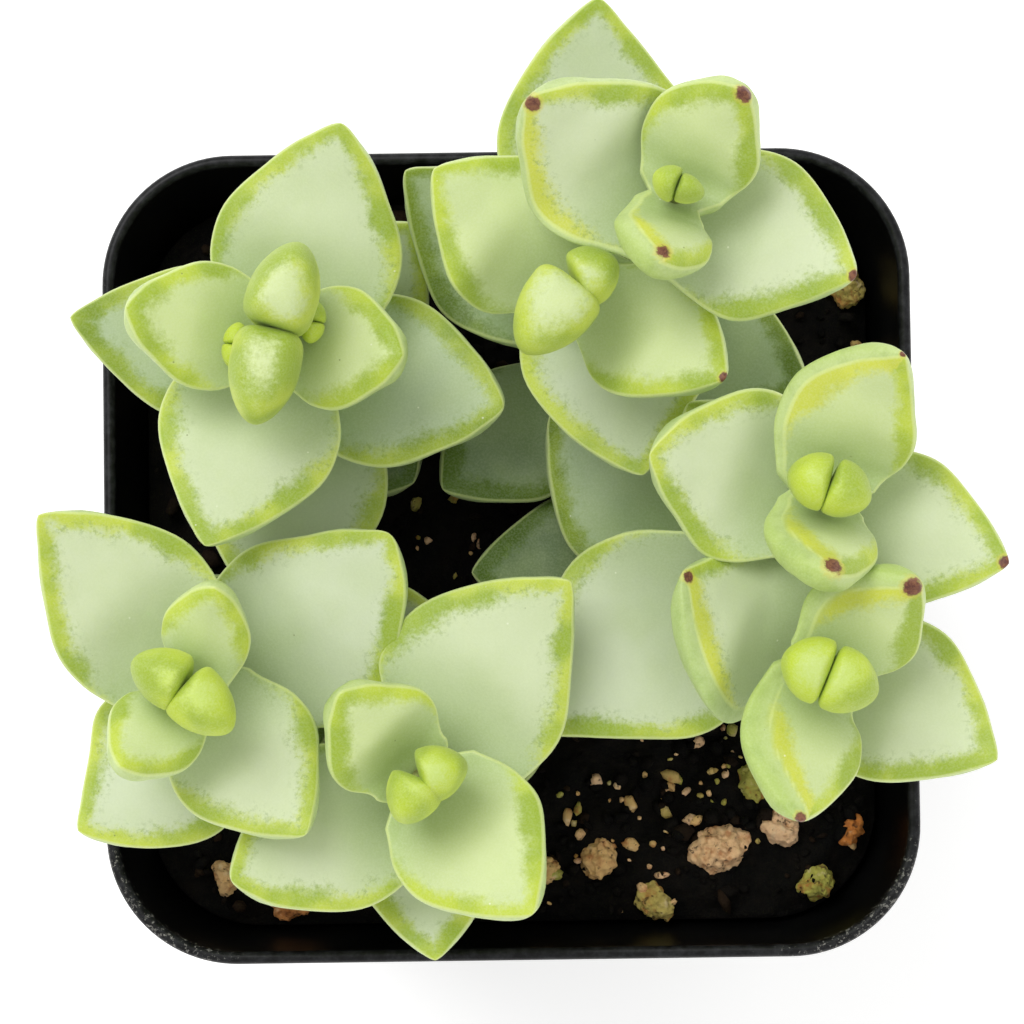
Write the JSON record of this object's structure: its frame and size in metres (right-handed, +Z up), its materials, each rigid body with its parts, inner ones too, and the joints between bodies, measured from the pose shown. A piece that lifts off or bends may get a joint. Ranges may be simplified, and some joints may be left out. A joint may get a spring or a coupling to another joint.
{
  "type": "potted crassula",
  "caption": "Small succulent with fleshy stacked leaf pairs on short stems, growing from gritty soil in a square plastic nursery pot.",
  "frame": {"origin": "middle of the underside of the pot, on the surface the pot stands on", "axes": "+Z up; X and Y square to the pot's sides, +Y towards the tallest forked stem's side (back), +X to the right seen from the front"},
  "size_m": [0.0652, 0.0656, 0.0857],
  "materials": {
    "pot": "satin black moulded plastic with a worn, dusty rim",
    "soil": "near-black gritty potting mix, matt and slightly damp",
    "stem": "green-brown, matt, with leaf scars",
    "leaf": "powdery grey-green with a yellow-green margin and a thin pale edge, satin",
    "bud": "bright yellow-green young leaves, satin",
    "stone": "rough tan and orange-brown pumice, matt"
  },
  "bodies": {
    "root": {"stem_back_left": "stem", "leaves_back_left_1": "leaf", "leaves_back_left_2": "leaf", "leaves_back_left_3": "leaf", "leaves_back_left_4": "leaf", "leaves_back_left_5": "leaf", "bud_back_left": "bud", "stem_front_left": "stem", "leaves_front_left_1": "leaf", "leaves_front_left_2": "leaf", "leaves_front_left_3": "leaf", "leaves_front_left_4": "leaf", "bud_front_left": "bud", "stem_front": "stem", "leaves_front_1": "leaf", "leaves_front_2": "leaf", "leaves_front_3": "leaf", "leaves_front_4": "leaf", "bud_front": "bud", "stem_back": "stem", "leaves_back_1": "leaf", "leaves_back_2": "leaf", "leaves_back_3": "leaf", "leaves_back_right_1": "leaf", "leaves_back_right_2": "leaf", "bud_back_right": "bud", "leaves_back_middle_1": "leaf", "bud_back_middle": "bud", "stem_right": "stem", "leaves_right_1": "leaf", "leaves_right_2": "leaf", "leaves_right_3": "leaf", "leaves_right_back_1": "leaf", "leaves_right_back_2": "leaf", "leaves_right_back_3": "leaf", "bud_right_back": "bud", "leaves_right_front_1": "leaf", "leaves_right_front_2": "leaf", "bud_right_front": "bud", "side_shoot_1": "bud", "side_shoot_2": "bud", "stone_a": "stone", "stone_b": "stone", "stone_c": "stone", "stone_d": "stone", "stone_e": "stone", "stone_f": "stone", "stone_g": "stone", "stone_h": "stone", "stone_i": "stone", "stone_j": "stone", "stone_k": "stone", "stone_l": "stone", "soil": "soil", "pot": "pot"}
  },
  "joints": []
}
